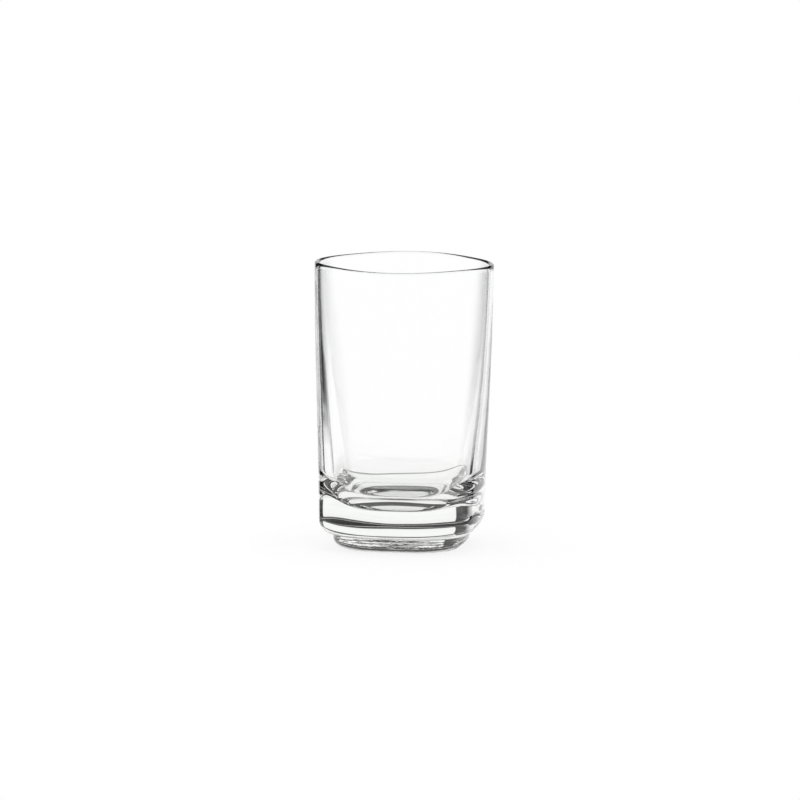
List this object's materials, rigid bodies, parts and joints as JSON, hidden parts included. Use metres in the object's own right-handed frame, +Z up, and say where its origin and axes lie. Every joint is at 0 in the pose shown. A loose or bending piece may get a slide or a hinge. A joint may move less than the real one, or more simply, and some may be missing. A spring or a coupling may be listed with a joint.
{
  "type": "liqueur glass",
  "caption": "Small clear pressed glass for liqueur, with a soft square base on a narrower foot, a rounded shoulder and a thin rim turned against the base.",
  "frame": {"origin": "on the glass's axis, in the plane that it rests on", "axes": "+Z up along the glass's axis, X and Y square to the flats of its base"},
  "size_m": [0.0442, 0.0442, 0.07],
  "materials": {
    "glass": "clear fire-polished soda-lime glass, faintly grey-green in the thick base"
  },
  "bodies": {
    "root": {"glass_body": "glass"}
  },
  "joints": []
}
